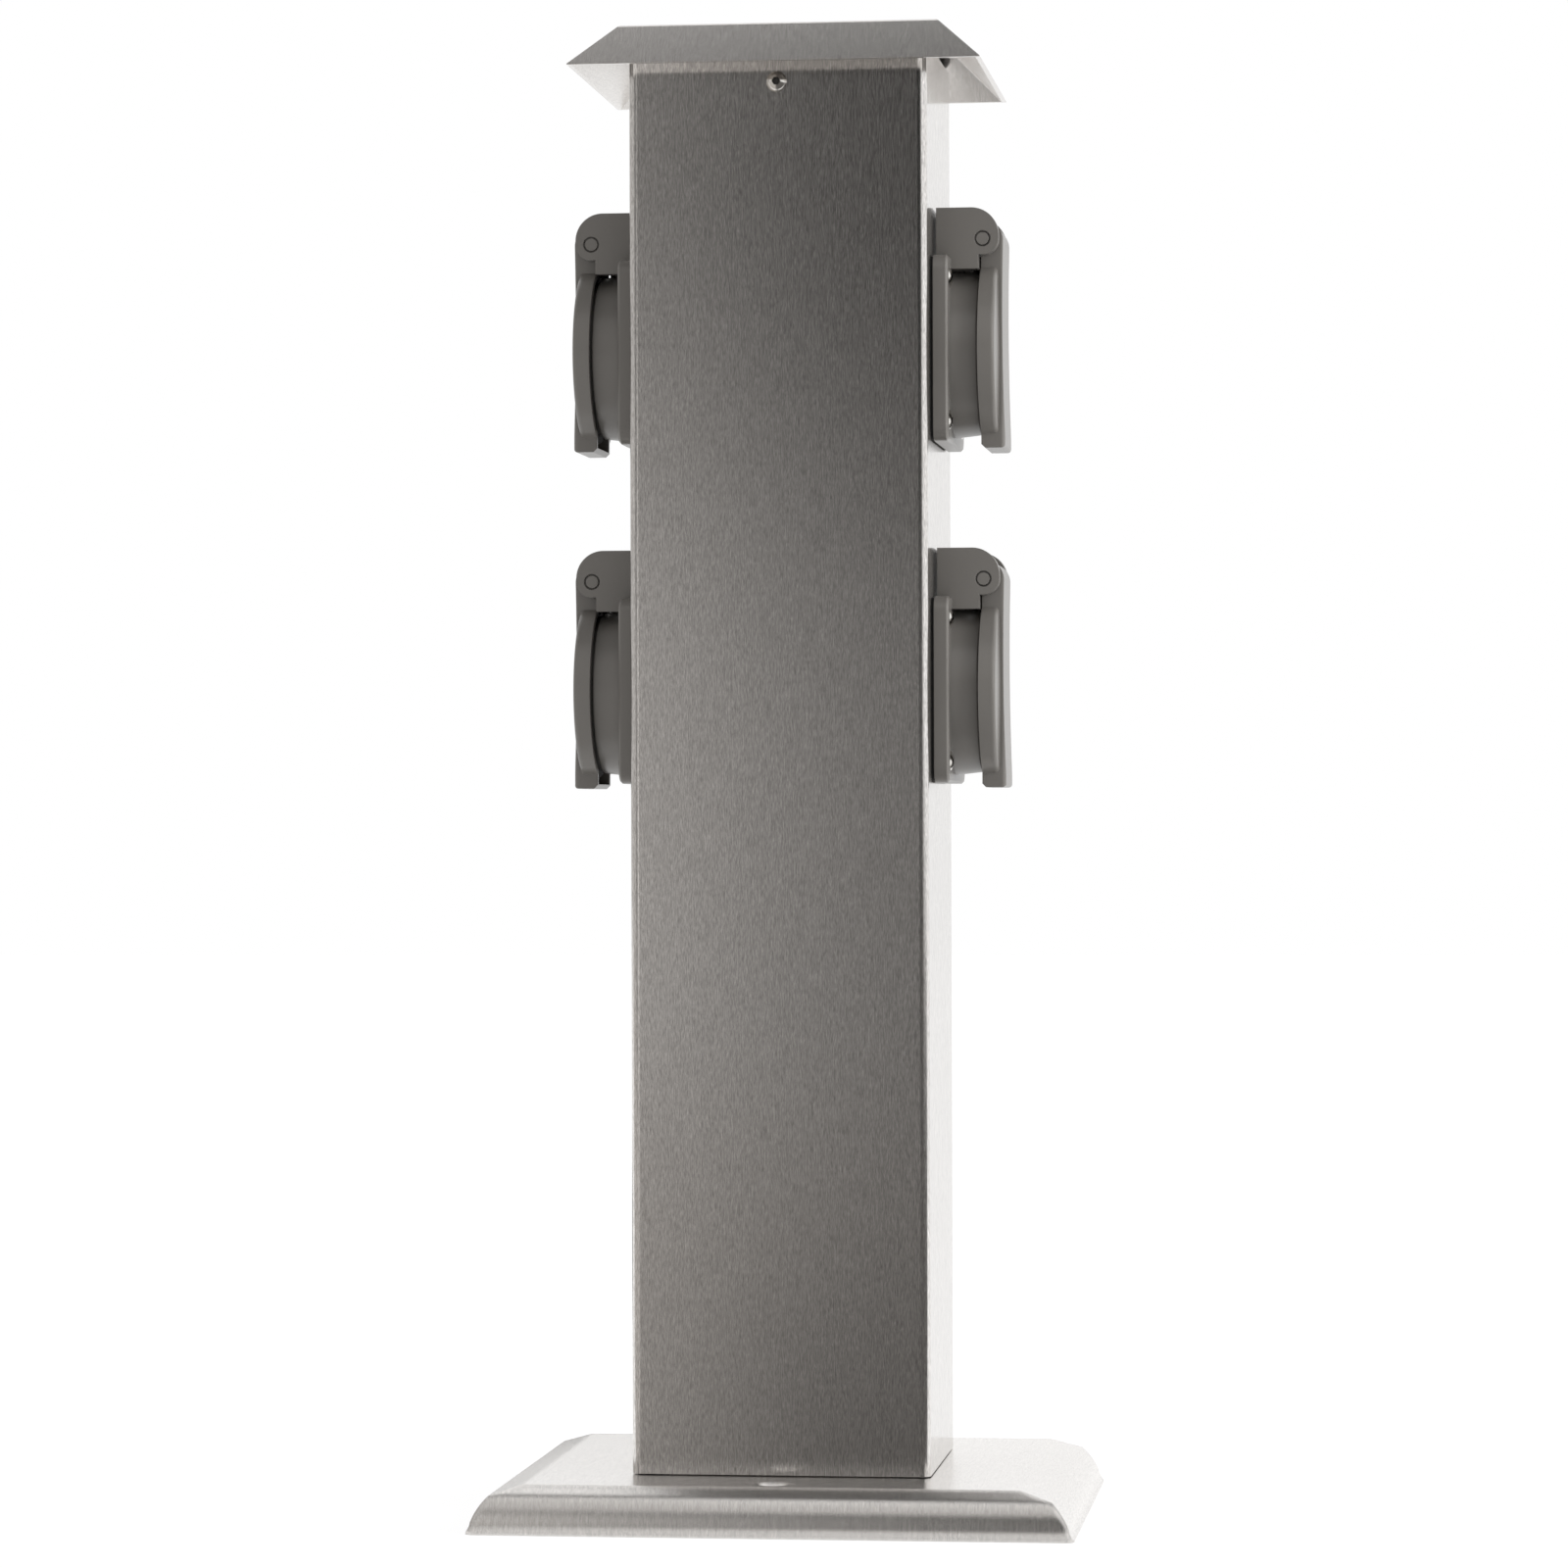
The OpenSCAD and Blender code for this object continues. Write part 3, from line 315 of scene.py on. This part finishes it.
# Outlet frames and lids
# Injection moulded grey ABS: a square flange, a tapered collar and the hinge bracket in one
# piece, and a round lid that hangs on it. The mould is spark eroded, which gives a satin skin.
def plastic(name, dark, pale, roughness, skin, edge):
    """Moulded or extruded plastic; skin is the size of its surface grain and edge the radius
    that softens its corners, in mm; dark and pale are the colours between which it varies."""
    made, tree, out = new_material(name)
    place = add_node(tree, "ShaderNodeTexCoord").outputs["Object"]
    grain = add_node(tree, "ShaderNodeTexNoise", {"Scale": 1000/skin, "Detail": 2.0},
        {"Vector": place})
    # The melt's flow varies the colour over about 18 mm
    flow_width, skin_depth = 18, 0.04
    cloud = add_node(tree, "ShaderNodeTexNoise", {"Scale": 1000/flow_width, "Detail": 3.0},
        {"Vector": place})
    shade = add_node(tree, "ShaderNodeMix",
        {"data_type": "RGBA", 6: colour(dark), 7: colour(pale)}, {0: cloud.outputs[0]})
    spread = 0.06
    rough = add_node(tree, "ShaderNodeMapRange",
        {"To Min": roughness - spread, "To Max": roughness + spread}, {"Value": grain.outputs[0]})
    round_edge = add_node(tree, "ShaderNodeBevel", {"samples": 6, "Radius": edge/1000})
    relief = add_node(tree, "ShaderNodeBump", {"Strength": 0.25, "Distance": skin_depth/1000},
        {"Height": grain.outputs[0], "Normal": round_edge.outputs[0]})
    surface = add_node(tree, "ShaderNodeBsdfPrincipled", {"IOR": 1.53},
        {"Base Color": shade.outputs[2], "Roughness": rough.outputs[0],
         "Normal": relief.outputs[0]})
    tree.links.new(surface.outputs[0], out.inputs[0])
    return made


grey_abs = plastic("ABS moulded grey with a spark eroded skin", "#6a6763", "#716e6a",
    roughness=0.3, skin=0.25, edge=0.35)
dress([part + p for part in ("frame_", "lid_", "hinge_pin_") for p in PLACES], grey_abs)

# Wells and rear housings
# Behind each lid a darker moulding of heat resistant nylon holds the contacts, and a black
# terminal body closes it behind, inside the column. Both are duller than the frames.
well_nylon = plastic("nylon moulded dark grey", "#3a3836", "#413f3c",
    roughness=0.45, skin=0.2, edge=0.2)
dress(["insert_" + p for p in PLACES], well_nylon)
black_nylon = plastic("nylon moulded black", "#191918", "#201f1e",
    roughness=0.5, skin=0.3, edge=0.2)
dress(["rear_housing_" + p for p in PLACES], black_nylon)

# Contacts and earth stud
# Turned brass sleeves behind the pin holes, and a strip bent to two spring arms that earths the
# plug; nickel keeps the strip pale. The brass stud and its nut earth the column.
clip_metal = bright_metal("brass strip nickel plated", "#cfc8b8", 0.22)
dress(["earth_clip_" + p for p in PLACES], clip_metal)
brass = bright_metal("brass turned", "#d9b56a", 0.2)
dress(["earth_stud", "earth_nut"] + ["line_contacts_" + p for p in PLACES], brass)

# Cable gland and terminal block
# Where the supply comes up out of the ground, a black nylon gland with its nut clamps it in the
# base plate. The block above it, on the terminal plate, joins it to the wires; its nylon is left
# undyed, which makes it a warm white.
dress(["cable_gland", "gland_nut"], black_nylon)
white_nylon = plastic("nylon moulded white", "#dad8d0", "#e2e0d9",
    roughness=0.45, skin=0.3, edge=0.2)
dress(["terminal_block"], white_nylon)

# Seals
# Foamed rubber cut from black sheet: the gasket that each flange clamps against the column, and
# the ring glued into each lid. It is dead matt, and the darkest thing on the post.
rubber = plastic("rubber foam black cut from sheet", "#0d0d0d", "#161616",
    roughness=0.8, skin=0.4, edge=0.1)
dress([part + p for part in ("flange_gasket_", "lid_seal_") for p in PLACES], rubber)

# Wires
# Three insulated conductors run up the middle of the column from the terminal block, with a
# branch to each outlet. Their PVC is extruded, smooth and half glossy, in the usual colours.
for name, finish, dark, pale in (
        ("live_wire", "PVC extruded brown", "#5d3a22", "#684228"),
        ("neutral_wire", "PVC extruded blue", "#2b5794", "#3463a3"),
        ("earth_wire", "PVC extruded green and yellow", "#5d8a2c", "#c9b528")):
    dress([name], plastic(finish, dark, pale, roughness=0.4, skin=0.5, edge=0.1))

bpy.context.view_layer.update()
